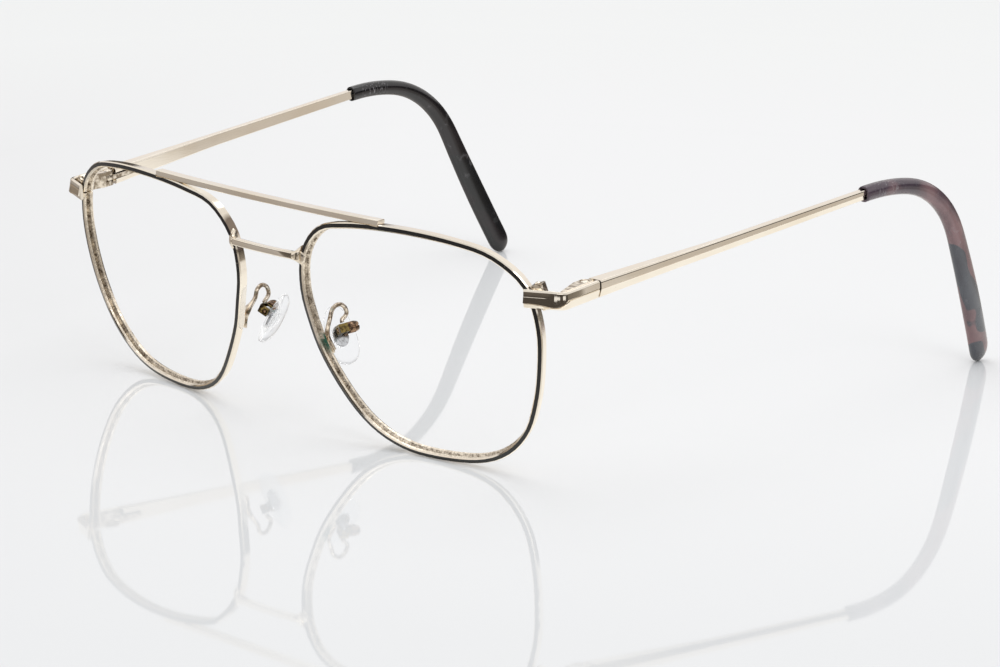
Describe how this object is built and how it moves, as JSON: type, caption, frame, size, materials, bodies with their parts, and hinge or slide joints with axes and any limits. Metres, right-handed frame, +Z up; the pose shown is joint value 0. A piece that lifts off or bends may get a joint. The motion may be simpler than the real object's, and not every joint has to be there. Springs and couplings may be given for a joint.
{
  "type": "eyeglass frame",
  "caption": "Full-rim metal navigator eyeglass frame with a double bridge, folding temples with plastic tips and rocking nose pads.",
  "frame": {"origin": "on the table, under the middle of the box round the open frame", "axes": "+Z up, the front faces -Y, the temples run to +Y, +X is the wearer's left, X = 0 is the mirror plane"},
  "size_m": [0.149, 0.145, 0.0475],
  "materials": {
    "gold": "polished pale champagne gold plating",
    "rim_gold": "pale gold plating, black lacquer band on the front face",
    "screw_gold": "darker worn gold",
    "tortoise": "glossy dark translucent tortoise",
    "clear_silicone": "clear soft silicone"
  },
  "bodies": {
    "front": {"bridge": "gold", "brow_bar": "gold", "left_rim": "rim_gold", "left_pad_arm": "gold", "left_end_piece": "gold", "left_front_hinge": "gold", "left_hinge_screw": "screw_gold", "left_lock_upper": "gold", "left_lock_lower": "gold", "left_closing_screw": "screw_gold", "left_pad_box": "gold", "left_pad_screw": "screw_gold", "right_rim": "rim_gold", "right_pad_arm": "gold", "right_end_piece": "gold", "right_front_hinge": "gold", "right_hinge_screw": "screw_gold", "right_lock_upper": "gold", "right_lock_lower": "gold", "right_closing_screw": "screw_gold", "right_pad_box": "gold", "right_pad_screw": "screw_gold"},
    "left_temple_body": {"left_temple": "gold", "left_temple_hinge": "gold", "left_temple_tip": "tortoise"},
    "left_pad_body": {"left_nose_pad": "clear_silicone", "left_pad_insert": "gold"},
    "right_temple_body": {"right_temple": "gold", "right_temple_hinge": "gold", "right_temple_tip": "tortoise"},
    "right_pad_body": {"right_nose_pad": "clear_silicone", "right_pad_insert": "gold"}
  },
  "joints": [
    {"name": "left_temple_hinge", "type": "hinge", "parent": "front", "child": "left_temple_body", "pos_m": [0.06723, -0.05326, 0.03755], "axis": [0, -0.0845, 0.9964], "range_deg": [0, 90]},
    {"name": "right_temple_hinge", "type": "hinge", "parent": "front", "child": "right_temple_body", "pos_m": [-0.06723, -0.05326, 0.03755], "axis": [0, 0.0845, -0.9964], "range_deg": [0, 82]},
    {"name": "left_pad_rock", "type": "hinge", "parent": "front", "child": "left_pad_body", "pos_m": [0.01075, -0.06071, 0.02058], "axis": [0.3084, 0.9434, 0.1217], "range_deg": [-15, 15]},
    {"name": "right_pad_rock", "type": "hinge", "parent": "front", "child": "right_pad_body", "pos_m": [-0.01075, -0.06071, 0.02058], "axis": [-0.3084, 0.9434, 0.1217], "range_deg": [-15, 15]}
  ]
}
